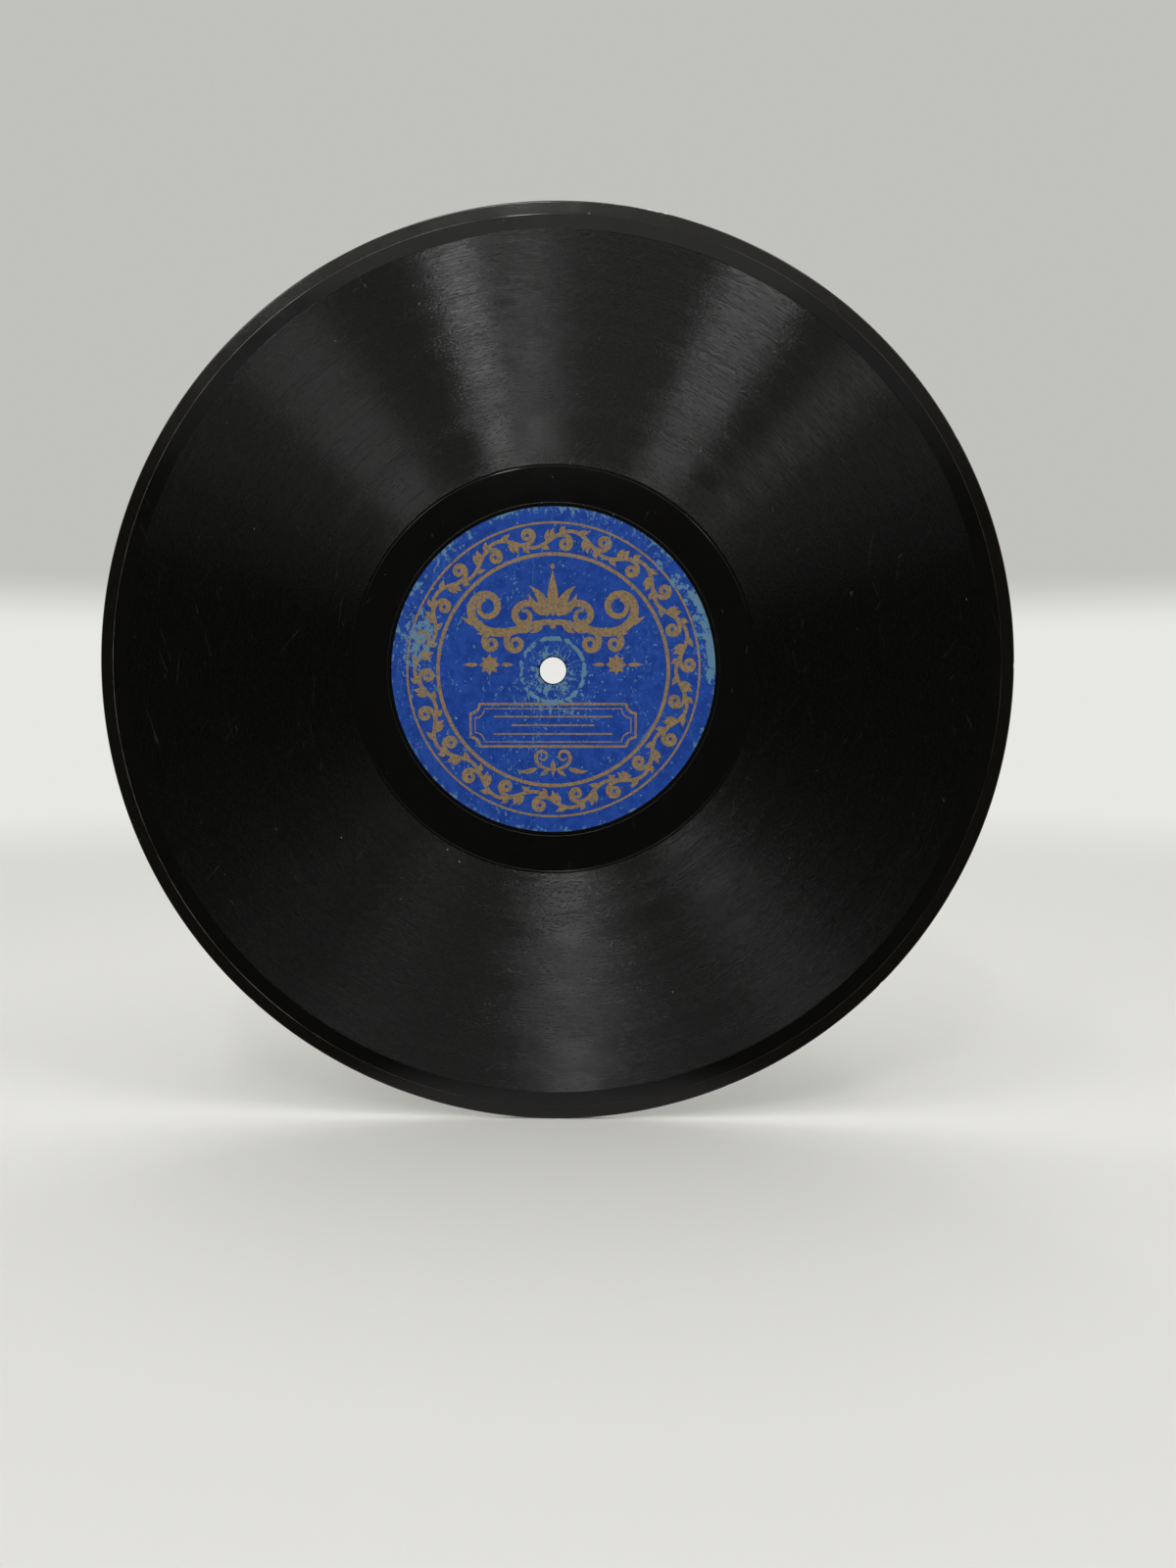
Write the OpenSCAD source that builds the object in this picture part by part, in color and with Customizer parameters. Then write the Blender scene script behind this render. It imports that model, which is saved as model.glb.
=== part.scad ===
// Ten-inch shellac record: one solid pressed disc with a paper label sunk into each face.
// The record stands on its edge. Its axis lies along Y, the front face looks towards -Y,
// the top of the front label points to +Z, and the origin is the centre of the spindle hole.

/* [Disc] */
// Diameter over the ground outer edge
disc_d = 254; // [240:0.5:310]
// Thickness from one playing surface to the other
disc_t = 2.2; // [1.8:0.05:3.2]
// Width of the thinner rim band that the clamp ring of the press leaves
rim_w = 3.5; // [2:0.1:6]
// Depth of the rim band below the playing surface
rim_drop = 0.2; // [0.1:0.05:0.4]
// Width of the sloping step between the rim band and the margin
rim_slope = 0.15; // [0.05:0.05:0.4]
// Radius of the ground outer edge
edge_r = 0.5; // [0.2:0.05:0.5]

/* [Grooves] */
// Width of the smooth margin between the rim step and the first turn
margin_w = 4; // [1:0.1:8]
// Distance from one turn of the groove to the next, which leaves a sharp crest between turns
groove_pitch = 0.3; // [0.24:0.01:0.5]
// Depth of the groove
groove_depth = 0.06; // [0.03:0.01:0.1]
// Distance from the last turn to the closed stop groove
stop_gap = 0.5; // [0.3:0.1:2]

/* [Centre] */
// Diameter of the spindle hole
hole_d = 7.3; // [7:0.05:7.5]
// Diameter of the sunken pad round the spindle hole
pad_d = 16.4; // [12:0.1:24]
// Depth of the sunken pad below the rest of the label
pad_drop = 0.2; // [0.05:0.05:0.3]
// Width of the sloping step round the pad
pad_slope = 0.4; // [0.1:0.05:1]
// Width of the smooth run-out between the label seat and the stop groove
runout_w = 11; // [6:0.5:20]
// Distance of the fine die line outside the label seat
die_line_gap = 1.1; // [0.5:0.1:3]
// Width of the fine die line
die_line_w = 0.2; // [0.1:0.05:0.4]
// Depth of the fine die line
die_line_depth = 0.04; // [0.02:0.01:0.1]

/* [Labels] */
// Diameter of each paper label
label_d = 90; // [70:0.5:110]
// Thickness of the label paper
label_t = 0.15; // [0.1:0.01:0.25]
// Diameter of the hole in the label, torn a little wider than the spindle hole
label_hole_d = 7.8; // [7.6:0.1:9]
// Clearance between the label's edge and the wall of its seat
label_gap = 0.05; // [0.02:0.01:0.2]
// Thickness of the bond between the paper and the floor of its seat
label_bond = 0.02; // [0.01:0.01:0.05]

/* [Hidden] */
$fn = 180;

// Straight steps in the rounded outer edge
edge_steps = 8;

// Heights above the disc's middle plane
land_z = disc_t / 2;
rim_z = land_z - rim_drop;
pad_z = land_z - pad_drop;

// Radii from the axis outwards
hole_r = hole_d / 2;
pad_r = pad_d / 2;
label_r = label_d / 2;
seat_r = label_r + label_gap;
stop_r = seat_r + runout_w;
field_in = stop_r + stop_gap;
disc_r = disc_d / 2;
rim_r = disc_r - rim_w;
field_out = rim_r - rim_slope - margin_w;
turns = floor((field_out - field_in) / groove_pitch);

// One vee groove in section, from its inner lip to its outer lip
function groove_section(r, w, depth) = [
    [r - w / 2, land_z],
    [r, land_z - depth],
    [r + w / 2, land_z]
];

// The stepped surface under or on a label, lowered by the paper's thickness where asked
function label_surface(r_in, r_out, lowered) = [
    [r_in, pad_z - lowered],
    [pad_r, pad_z - lowered],
    [pad_r + pad_slope, land_z - lowered],
    [r_out, land_z - lowered]
];

// All turns of the recorded band, the innermost first, each from its inner crest to its root
function recorded_band() = [
    for (turn = [turns : -1 : 1])
        let (crest_r = field_out - turn * groove_pitch)
        each [[crest_r, land_z], [crest_r + groove_pitch / 2, land_z - groove_depth]]
];

// The rounded edge on one face, from the rim band down to the outermost radius
function ground_edge() = [
    for (i = [0 : edge_steps])
        let (a = 90 - 90 * i / edge_steps)
        [disc_r - edge_r + edge_r * cos(a), rim_z - edge_r + edge_r * sin(a)]
];

// One whole face in section, from the spindle hole to the edge
function face_section() = concat(
    label_surface(hole_r, seat_r, label_t + label_bond),
    [[seat_r, land_z]],
    groove_section(seat_r + die_line_gap, die_line_w, die_line_depth),
    groove_section(stop_r, groove_pitch, groove_depth),
    recorded_band(),
    [[field_out, land_z], [rim_r - rim_slope, land_z], [rim_r, rim_z]],
    ground_edge()
);

function reversed(points) = [for (i = [len(points) - 1 : -1 : 0]) points[i]];
function mirrored(points) = [for (p = points) [p.x, -p.y]];

// A section given as radius and height turns about the record's axis, height towards the front
module turned(points) {
    rotate([90, 0, 0]) rotate_extrude() polygon(points);
}

module disc() {
    color("#1c1a19") turned(concat(face_section(), reversed(mirrored(face_section()))));
}

module paper_label() {
    label_hole_r = label_hole_d / 2;
    turned(concat(
        label_surface(label_hole_r, label_r, 0),
        reversed(label_surface(label_hole_r, label_r, label_t))
    ));
}

module front_label() {
    color("#1d3f9c") paper_label();
}

module back_label() {
    color("#1d3f9c") rotate([0, 0, 180]) paper_label();
}

disc();
front_label();
back_label();
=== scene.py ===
# %% [markdown]
# # A ten-inch shellac record
#
# A shellac record is a simple thing to list and a hard thing to shade: one pressed black disc, a
# paper label sunk into each face, and a groove so fine that nobody sees it. What everybody does
# see is how the groove throws the light, as bright wedges that point at the spindle hole. The
# lesson therefore models the groove as a real spiral and lets the lamps do the rest.

# %% Load the frame
import functools
import math
import random

import bmesh
import bpy
import numpy as np
from mathutils import Matrix, Vector


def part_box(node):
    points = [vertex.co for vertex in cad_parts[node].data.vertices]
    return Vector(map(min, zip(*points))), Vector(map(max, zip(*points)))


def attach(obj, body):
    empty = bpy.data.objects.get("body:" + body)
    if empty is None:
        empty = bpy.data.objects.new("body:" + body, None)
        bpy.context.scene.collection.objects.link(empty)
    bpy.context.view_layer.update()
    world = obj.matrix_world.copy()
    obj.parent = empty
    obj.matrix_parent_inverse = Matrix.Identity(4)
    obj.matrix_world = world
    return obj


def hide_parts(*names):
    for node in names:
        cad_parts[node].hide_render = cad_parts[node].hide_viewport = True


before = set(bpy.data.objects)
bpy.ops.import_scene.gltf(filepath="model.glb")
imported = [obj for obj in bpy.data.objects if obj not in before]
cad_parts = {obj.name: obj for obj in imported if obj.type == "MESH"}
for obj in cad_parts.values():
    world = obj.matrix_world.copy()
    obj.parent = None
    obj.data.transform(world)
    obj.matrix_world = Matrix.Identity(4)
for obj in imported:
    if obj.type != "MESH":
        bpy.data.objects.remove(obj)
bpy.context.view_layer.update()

# %% [markdown]
# ## The sizes
#
# The disc stands on its edge with its axis along Y, and its front face looks towards -Y. The
# overall sizes are read from the frame, so that the scene can't drift away from the solids. The
# small ones are repeated here in millimetres, as a maker would give them, and every point is
# multiplied by MM when it becomes a vertex.

# %% Sizes
MM = 0.001
disc_low, disc_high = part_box("disc")
paper_low, paper_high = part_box("front_label")
DISC_R = (disc_high.x - disc_low.x) / 2 / MM
LAND = (disc_high.y - disc_low.y) / 2 / MM
LABEL_R = (paper_high.x - paper_low.x) / 2 / MM

HOLE_R, PAPER_HOLE_R = 3.65, 3.9
PAD_R, PAD_SLOPE, PAD_DROP = 8.2, 0.4, 0.2
PAPER_T, BOND, PAPER_GAP = 0.15, 0.02, 0.05
DIE_LINE_GAP, DIE_LINE_W, DIE_LINE_DEPTH = 1.1, 0.2, 0.04
RUNOUT_W, STOP_GAP, MARGIN_W = 11, 0.5, 4
PITCH, DEPTH = 0.3, 0.06
RIM_W, RIM_SLOPE, RIM_DROP, EDGE_R = 3.5, 0.15, 0.2, 0.5
TROUGH_DEPTH, TROUGH_LIP = 0.12, 0.05

SEAT_R = LABEL_R + PAPER_GAP
DIE_LINE_R = SEAT_R + DIE_LINE_GAP
STOP_R = SEAT_R + RUNOUT_W
RIM_R = DISC_R - RIM_W
BAND_OUT = RIM_R - RIM_SLOPE - MARGIN_W
TURNS = math.floor((BAND_OUT - STOP_R - STOP_GAP) / PITCH)
BAND_IN = BAND_OUT - TURNS * PITCH
print(f"disc radius {DISC_R:.2f} mm, label radius {LABEL_R:.2f} mm")
print(f"{TURNS} turns from {BAND_OUT:.2f} mm to {BAND_IN:.2f} mm")

# %% [markdown]
# ## Helpers for turned pieces
#
# A record is pressed between two round dies, so nearly everything on it is a section turned about
# the axis. It could be stacked from cylinders and rings, but then every step would be a seam. Here
# the section is drawn as a few points (radius, height above the middle plane) and the spin operator
# turns it in one piece. A full spin with use_merge closes the seam. The normals are recalculated
# afterwards, because a spin can leave the skin inside out.

# %% Turning helpers
AXIS = Vector((0, -1, 0))
TURN = 2 * math.pi
ON_RING = 0.002


def radius(vert):
    return math.hypot(vert.co.x, vert.co.z) / MM


def height(vert):
    return -vert.co.y / MM


def draw_section(bm, points):
    """Vertices and edges of a closed section, drawn at three o'clock, heights towards the front."""
    verts = [bm.verts.new((r * MM, -h * MM, 0)) for r, h in points]
    edges = [bm.edges.new((a, b)) for a, b in zip(verts, verts[1:] + verts[:1])]
    return verts, edges


def spun(bm, points, steps, merge):
    verts, edges = draw_section(bm, points)
    return bmesh.ops.spin(
        bm,
        geom=verts + edges,
        cent=(0, 0, 0),
        axis=AXIS,
        angle=TURN,
        steps=steps,
        use_merge=merge,
    )


def turned(points, steps):
    bm = bmesh.new()
    spun(bm, points, steps, True)
    bmesh.ops.recalc_face_normals(bm, faces=bm.faces)
    return bm


def ring_edges(bm, r, h):
    """The edges that run round the axis at one radius and height."""
    def on_ring(v):
        return abs(radius(v) - r) < ON_RING and abs(height(v) - h) < ON_RING
    return [e for e in bm.edges if on_ring(e.verts[0]) and on_ring(e.verts[1])]


def off_by(angle, spot):
    """How far apart two angles are, the short way round."""
    return abs((angle - spot + math.pi) % TURN - math.pi)


def finished(bm, name, sharp_degrees=30):
    """The mesh object at the origin, smooth across every edge that is flatter than the angle."""
    mesh = bpy.data.meshes.new(name)
    bm.to_mesh(mesh)
    bm.free()
    mesh.shade_smooth()
    mesh.set_sharp_from_angle(angle=math.radians(sharp_degrees))
    obj = bpy.data.objects.new(name, mesh)
    bpy.context.collection.objects.link(obj)
    triangles = sum(len(p.vertices) - 2 for p in mesh.polygons)
    print(f"{name}: {triangles} triangles")
    return obj


print("sections turn about", tuple(AXIS))

# %% [markdown]
# ## The disc
#
# The dies leave a thinner rim band, a margin, a smooth run-out with one closed stop groove and a
# fine die line, and a sunken pad round the hole. The two groove bands are left as shallow troughs
# here, because a spiral can't be turned. Beside each sharp step a second ring of points holds the
# flat shading flat.

# %% Disc section
EDGE_STEPS = 8
HOLD = 0.12
RIM_H = LAND - RIM_DROP
SEAT_H = LAND - PAPER_T - BOND
SHOULDER_R = RIM_R - RIM_SLOPE


def vee(r, width, depth):
    return [(r - width / 2, LAND), (r, LAND - depth), (r + width / 2, LAND)]


def ground_edge():
    angles = [math.pi / 2 * (1 - i / EDGE_STEPS) for i in range(EDGE_STEPS + 1)]
    mid_r, mid_h = DISC_R - EDGE_R, RIM_H - EDGE_R
    return [(mid_r + EDGE_R * math.cos(a), mid_h + EDGE_R * math.sin(a)) for a in angles]


face_section = [(HOLE_R, SEAT_H - PAD_DROP), (PAD_R, SEAT_H - PAD_DROP)]
face_section += [(PAD_R + PAD_SLOPE, SEAT_H), (SEAT_R, SEAT_H)]
face_section += [(SEAT_R, LAND), (SEAT_R + HOLD, LAND)]
face_section += vee(DIE_LINE_R, DIE_LINE_W, DIE_LINE_DEPTH) + vee(STOP_R, PITCH, DEPTH)
trough_in, trough_out = BAND_IN - TROUGH_LIP, BAND_OUT + TROUGH_LIP
face_section += [(trough_in, LAND), (trough_in, LAND - TROUGH_DEPTH)]
face_section += [(trough_out, LAND - TROUGH_DEPTH), (trough_out, LAND)]
face_section += [(SHOULDER_R - HOLD, LAND), (SHOULDER_R, LAND), (RIM_R, RIM_H)]
face_section += [(RIM_R + HOLD, RIM_H), (DISC_R - EDGE_R - HOLD, RIM_H)] + ground_edge()
whole_section = face_section + [(r, -h) for r, h in reversed(face_section)]
print(len(whole_section), "points in the section")

# %% [markdown]
# The corner that catches the light, the shoulder of the rim step, gets a small bevel after the
# turning: no pressed edge is truly sharp. The operator's defaults differ from the editor's, so
# every setting is given.

# %% Turn the disc and soften the rim step
DISC_STEPS = 720
STEP_BEVEL = 0.06
bm = turned(whole_section, DISC_STEPS)
for side in (1, -1):
    bmesh.ops.bevel(
        bm,
        geom=ring_edges(bm, SHOULDER_R, side * LAND),
        offset=STEP_BEVEL * MM,
        segments=2,
        profile=0.5,
        affect="EDGES",
        material=-1,
    )
print(len(bm.verts), "points on the turned disc")

# %% [markdown]
# Shellac is brittle, and the rim of an old record has lost a few crumbs. A nick is a small hollow:
# the vertices of the rounded edge near one spot move towards the axis. The random numbers are
# seeded, so every run gives the same nicks.

# %% Nicks in the rim
NICKS = 16
NICK_WIDTHS, NICK_BITES = (0.5, 1.1), (0.06, 0.2)
NICK_SEED = 78
MIDDLE = 0.1
dice = random.Random(NICK_SEED)
rim_verts = [v for v in bm.verts if radius(v) > DISC_R - 2 * EDGE_R]
for _ in range(NICKS):
    spot = dice.uniform(0, TURN)
    face = dice.choice((1, -1))
    width = dice.uniform(*NICK_WIDTHS) / DISC_R
    bite = dice.uniform(*NICK_BITES)
    for v in rim_verts:
        away = off_by(math.atan2(v.co.z, v.co.x), spot) / width
        if away < 1 and height(v) * face > MIDDLE:
            keep = 1 - bite * (1 - away) / DISC_R
            v.co.x *= keep
            v.co.z *= keep
disc_body = finished(bm, "disc_body", 15)

# %% [markdown]
# ## The groove
#
# The groove is one spiral from the margin to the run-out. Bump could fake it, but real walls throw
# the light at every angle, and they stay in the mesh when it leaves Blender. A row of vees, crest
# to root to crest, is spun for one turn without merging. Then every point is pulled inwards by the
# share of the turn that it has made, so that the end of each turn meets the start of the next, and
# merging the doubles closes the seam. Only the two ends of the spiral are left open, and a face
# closes each. Seen from the front it runs inwards counter-clockwise, so that a needle travels
# inwards while the record turns clockwise.

# %% Groove section
PLATE_STEPS = 220
PLATE_GAP = 0.01
PLATE_BOTTOM = LAND - TROUGH_DEPTH + PLATE_GAP
lip_out, lip_in = trough_out - PLATE_GAP, trough_in + PLATE_GAP


def groove_section():
    crests_and_roots = []
    for turn in range(TURNS):
        crest = BAND_OUT - turn * PITCH
        crests_and_roots += [(crest, LAND), (crest - PITCH / 2, LAND - DEPTH)]
    rim = [(lip_in, PLATE_BOTTOM), (lip_out, PLATE_BOTTOM), (lip_out, LAND)]
    return crests_and_roots[:-1] + [(lip_in, LAND)] + rim


print(len(groove_section()), "points in the groove section")

# %% Groove plates
LIP_SLACK, SEAM_SLACK = 0.004, 0.002


def groove_plate():
    bm = bmesh.new()
    ends = spun(bm, groove_section(), PLATE_STEPS, False)["geom_last"]
    last = {g for g in ends if isinstance(g, bmesh.types.BMVert)}
    for v in bm.verts:
        r = radius(v)
        if abs(r - lip_in) < LIP_SLACK or abs(r - lip_out) < LIP_SLACK:
            continue
        share = 1 if v in last else math.atan2(v.co.z, v.co.x) % TURN / TURN
        v.co *= Vector(((r - PITCH * share) / r, 1, (r - PITCH * share) / r))
    bmesh.ops.remove_doubles(bm, verts=bm.verts, dist=SEAM_SLACK * MM)
    bmesh.ops.holes_fill(bm, edges=[e for e in bm.edges if e.is_boundary], sides=0)
    bmesh.ops.recalc_face_normals(bm, faces=bm.faces)
    print("groove plate:", sum(not e.is_manifold for e in bm.edges), "open edges")
    return bm


half_turn = Matrix.Rotation(math.pi, 4, "Z")
bm = groove_plate()
back_bm = bm.copy()
bmesh.ops.transform(back_bm, matrix=half_turn, verts=back_bm.verts)
front_grooves = finished(bm, "front_grooves", 20)
back_grooves = finished(back_bm, "back_grooves", 20)

# %% [markdown]
# ## The paper labels
#
# Each label is a disc of printed paper, laid on the die and pressed into the hot shellac, so it
# lies flush and the step of the pad shows in it. A colour on the disc could stand for it, but paper
# has an edge of its own. It is turned like the disc. Round the spindle hole the paper has frayed,
# so the inner edge is moved in and out at random, with a few deeper tears.

# %% Label paper
LABEL_STEPS = 288
PAPER_RINGS = (4.3, 4.8, 5.5, 6.5)
FRAY_R = 5.5
FRAY = (-0.05, 0.16)
TEARS, TEAR_WIDTHS, TEAR_DEPTHS = 7, (0.02, 0.06), (0.3, 1.2)
FRONT_SEED, BACK_SEED = 11, 23
STEP_OUT, STEP_IN, STEP_SHARE = 0.15, 0.1, 0.2
CUT_W, CUT_DROP = 0.05, 0.03


def paper_section():
    """The top of the paper with the pad's step softened over four points, then the underside."""
    pad_h, slope_r = LAND - PAD_DROP, PAD_R + PAD_SLOPE
    top = [(r, pad_h) for r in (PAPER_HOLE_R, *PAPER_RINGS, PAD_R - STEP_OUT)]
    top += [(PAD_R + STEP_IN, LAND - PAD_DROP * (1 - STEP_SHARE))]
    top += [(slope_r - STEP_IN, LAND - PAD_DROP * STEP_SHARE), (slope_r + STEP_OUT, LAND)]
    top += [(LABEL_R - CUT_W, LAND), (LABEL_R, LAND - CUT_DROP)]
    return top + [(r, h - PAPER_T) for r, h in reversed(top[:-1])]


def one_tear(dice):
    return dice.uniform(0, TURN), dice.uniform(*TEAR_WIDTHS), dice.uniform(*TEAR_DEPTHS)


def paper_label(seed):
    bm = turned(paper_section(), LABEL_STEPS)
    dice = random.Random(seed)
    tears = [one_tear(dice) for _ in range(TEARS)]
    ragged = [dice.uniform(*FRAY) for _ in range(LABEL_STEPS)]
    for v in bm.verts:
        r = radius(v)
        if r > FRAY_R:
            continue
        angle = math.atan2(v.co.z, v.co.x)
        fray = ragged[round(angle / TURN * LABEL_STEPS) % LABEL_STEPS]
        for spot, width, deep in tears:
            fray += deep * max(0, 1 - off_by(angle, spot) / width)
        share = 1 - (r - PAPER_HOLE_R) / (FRAY_R - PAPER_HOLE_R)
        grown = 1 + fray * max(0, share) / r
        v.co.x *= grown
        v.co.z *= grown
    return bm


front_paper = finished(paper_label(FRONT_SEED), "front_label_paper")
bm = paper_label(BACK_SEED)
bmesh.ops.transform(bm, matrix=half_turn, verts=bm.verts)
back_paper = finished(bm, "back_label_paper")

# %% [markdown]
# ## The gold print
#
# The label is printed in dull gold: two ring lines, a running leaf scroll between them, a flourish
# over the hole and a ruled panel under it. Nodes could paint lines and dots, but they can't draw a
# curl, so the print is drawn with strokes. A pen stroke whose curvature grows evenly along its
# length rolls itself up into a volute, so one helper draws them all. A stroke is a list of points
# (x, z, width) in millimetres.

# %% Pen strokes


def swell(t):
    """Width along a stroke: it starts half wide, is full before the middle and ends fine."""
    return 0.3 + 0.7 * math.sin(math.pi * (0.15 + 0.8 * t))


def leaf_swell(t):
    return max(0.08, math.sin(math.pi * t**0.7))


def scroll(start, heading, length, bends, thick, width=swell, steps=30):
    """A stroke whose bend goes evenly from bends[0] to bends[1], in turns per mm."""
    x, z = start
    angle = math.radians(heading)
    points = []
    for i in range(steps + 1):
        t = i / steps
        points.append((x, z, thick * width(t)))
        angle += TURN * (bends[0] + (bends[1] - bends[0]) * t) * length / steps
        x += math.cos(angle) * length / steps
        z += math.sin(angle) * length / steps
    return points


def leaf(start, heading, length, thick, curl=0.0):
    return scroll(start, heading, length, (0.0, curl), thick, leaf_swell, 10)


def dot(x, z, size):
    steps = ((-0.38, 0.45), (-0.2, 0.9), (0, 1), (0.2, 0.9), (0.38, 0.45))
    return [(x + size * shift, z, size * width) for shift, width in steps]


def ring_line(r, thick, steps=192):
    angles = [TURN * i / steps for i in range(steps)]
    return [(r * math.cos(a), r * math.sin(a), thick) for a in angles]


def mirrored(strokes):
    return strokes + [[(-x, z, w) for x, z, w in s] for s in strokes]


print("a leaf is", len(leaf((0, 0), 0, 1, 1)), "points of the pen")

# %% [markdown]
# The running scroll is one of the oldest borders there is: a stem that waves between the two lines,
# with a volute rolled into each bend and leaves in the corners. It is drawn straight first, with u
# along the stem and v towards the edge, and then wrapped round the label.

# %% Leaf scroll border
BORDER_R = 36.3
BORDER_LINES = ((40.6, 0.6), (32.0, 1.0))
BENDS = 22
BEND_L = TURN * BORDER_R / BENDS
STEM_WAVE, STEM_W, STEM_STEPS = 2.2, 1.0, 12


def bend_strokes():
    strokes = [scroll((0.06 * BEND_L, 0.35), 30, 15.5, (-0.022, -0.205), 1.3)]
    strokes += [leaf((-0.02 * BEND_L, -0.2), 92, 3.1, 1.7, -0.06)]
    strokes += [leaf((0.20 * BEND_L, 1.45), 66, 2.4, 1.5, -0.05)]
    strokes += [leaf((0.66 * BEND_L, 1.9), 18, 3.0, 1.5, 0.02)]
    strokes += [leaf((0.87 * BEND_L, 0.9), -96, 3.4, 1.6, 0.05)]
    return strokes


def wrapped(points, offset, flip):
    out = []
    for u, v, w in points:
        angle = (u + offset) / BORDER_R
        r = BORDER_R + v * flip
        out.append((r * math.sin(angle), r * math.cos(angle), w))
    return out


border = []
for bend in range(BENDS):
    flip = 1 if bend % 2 == 0 else -1
    border += [wrapped(s, bend * BEND_L, flip) for s in bend_strokes()]
steps = [i / STEM_STEPS for i in range(BENDS * STEM_STEPS)]
stem = [(t * BEND_L, STEM_WAVE * math.sin(math.pi * t), STEM_W) for t in steps]
rings = [ring_line(r, thick) for r, thick in BORDER_LINES] + [wrapped(stem, 0, 1)]
print(len(border), "border strokes round", BENDS, "bends")

# %% [markdown]
# The flourish, the flowers and the foot are drawn as right halves and mirrored, as an engraver
# would fold the paper. The panel holds three plain rules.

# %% Flourish over the hole
half = [scroll((0.4, 13.4), 2, 49, (-0.013, 0.073), 2.4, steps=60)]
half += [scroll((8.0, 12.4), -16, 19, (-0.004, -0.14), 1.7)]
half += [scroll((1.2, 15.2), 48, 22, (-0.004, -0.105), 2.0)]
half += [scroll((14.4, 11.4), -10, 16, (-0.002, -0.165), 1.6)]
half += [leaf((1.0, 15.6), 66, 9.5, 2.6, -0.02), leaf((2.2, 15.2), 40, 7.5, 2.2, 0.03)]
half += [leaf((3.0, 13.0), -52, 4.2, 1.9, 0.05), leaf((5.4, 12.8), -42, 5.0, 1.9, 0.05)]
half += [leaf((19.3, 12.9), 6, 6.5, 2.0, 0.03), leaf((16.6, 11.4), -24, 4.6, 1.7, 0.03)]
flourish = mirrored(half) + [leaf((0, 15), 90, 12.5, 3.0), dot(0, 12.6, 2.4), dot(0, 28.6, 1.5)]
print(len(flourish), "flourish strokes")

# %% Panel, flowers and foot
PANEL_W, PANEL_TOP, PANEL_BOTTOM, PANEL_CUT = 22.5, -9.8, -20.6, 2.6
PANEL_LINES = ((-0.8, 0.35), (0.5, 0.8))
RULES, RULE_W = ((16.5, -12.8), (11.5, -15.2), (16.5, -17.6)), 0.45


def panel_line(grow, thick):
    """Half of a panel outline with hollow corners, from mid top to mid bottom."""
    wide, top, bottom = PANEL_W + grow, PANEL_TOP + grow, PANEL_BOTTOM - grow
    arc = [math.radians(a) for a in (0, 15, 30, 45, 60, 75, 90)]
    hollow = [(wide - PANEL_CUT * math.cos(a), PANEL_CUT * math.sin(a)) for a in arc]
    upper = [(x, top - drop) for x, drop in hollow]
    lower = [(x, bottom + drop) for x, drop in reversed(hollow)]
    return [(x, z, thick) for x, z in [(0, top)] + upper + lower + [(0, bottom)]]


def flower(x, z, size, petals):
    turns = [360 * i / petals + 90 for i in range(petals)]
    return [leaf((x, z), a, size, size * 0.62) for a in turns] + [dot(x, z, size * 0.5)]


panel = mirrored([panel_line(*line) for line in PANEL_LINES])
panel += [[(-w, z, RULE_W), (w, z, RULE_W)] for w, z in RULES]
half = flower(17.6, 1.6, 2.9, 8)
half += [leaf((20.9, 1.6), 0, 4.2, 1.2), leaf((14.3, 1.6), 180, 3.4, 1.2)]
flowers = mirrored(half)
half = [scroll((0.4, -27.6), 10, 14, (0.002, 0.165), 1.0)]
half += [leaf((4.4, -27.2), -22, 5.6, 1.4, 0.05), leaf((1.2, -27.2), -50, 3.4, 1.2, 0.05)]
foot = mirrored(half) + [leaf((0, -25.0), -90, 4.6, 1.4)]
strokes = border + flourish + panel + flowers + foot
print(len(strokes), "strokes in all")

# %% [markdown]
# The strokes become splines of one curve object, with a radius at each point and a bevel of one
# millimetre. Made into a mesh and pressed flat, they are thin ink with a real thickness, bedded in
# the paper.

# %% Print the labels
INK_LIFT = 0.0016
INK_FLAT = 0.02


def pen_curve(name):
    curve = bpy.data.curves.new(name, "CURVE")
    curve.dimensions = "3D"
    curve.bevel_depth = MM / 2
    curve.bevel_resolution = 0
    curve.use_fill_caps = True
    for points in strokes + rings:
        spline = curve.splines.new("POLY")
        spline.points.add(len(points) - 1)
        spline.use_cyclic_u = any(points is ring for ring in rings)
        for p, (x, z, w) in zip(spline.points, points):
            p.co = (x * MM, z * MM, 0, 1)
            p.radius = w
    return curve


def printed(name, matrix):
    curve = pen_curve(name)
    pen = bpy.data.objects.new(name, curve)
    bm = bmesh.new()
    bm.from_mesh(bpy.data.meshes.new_from_object(pen))
    upright = Matrix.Rotation(math.pi / 2, 4, "X") @ Matrix.Diagonal((1, 1, INK_FLAT, 1))
    place = Matrix.Translation((0, -(LAND + INK_LIFT) * MM, 0))
    bmesh.ops.transform(bm, matrix=matrix @ place @ upright, verts=bm.verts)
    bmesh.ops.recalc_face_normals(bm, faces=bm.faces)
    bpy.data.objects.remove(pen)
    bpy.data.curves.remove(curve)
    return finished(bm, name, 60)


front_print = printed("front_label_print", Matrix.Identity(4))
back_print = printed("back_label_print", half_turn)

# %% [markdown]
# ## Node helpers
#
# Every finish is made of nodes that read Object coordinates. The pieces all sit at the origin, so
# those coordinates are simply the place on the record, and the distance from the axis is one vector
# length away. Short helpers keep the node trees readable: each adds one node and returns its
# output.

# %% Node helpers


def add(tree, kind, **settings):
    node = tree.nodes.new("ShaderNode" + kind)
    for key, value in settings.items():
        setattr(node, key, value)
    return node


def feed(tree, socket, value):
    if isinstance(value, bpy.types.NodeSocket):
        tree.links.new(value, socket)
    else:
        socket.default_value = value


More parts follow.
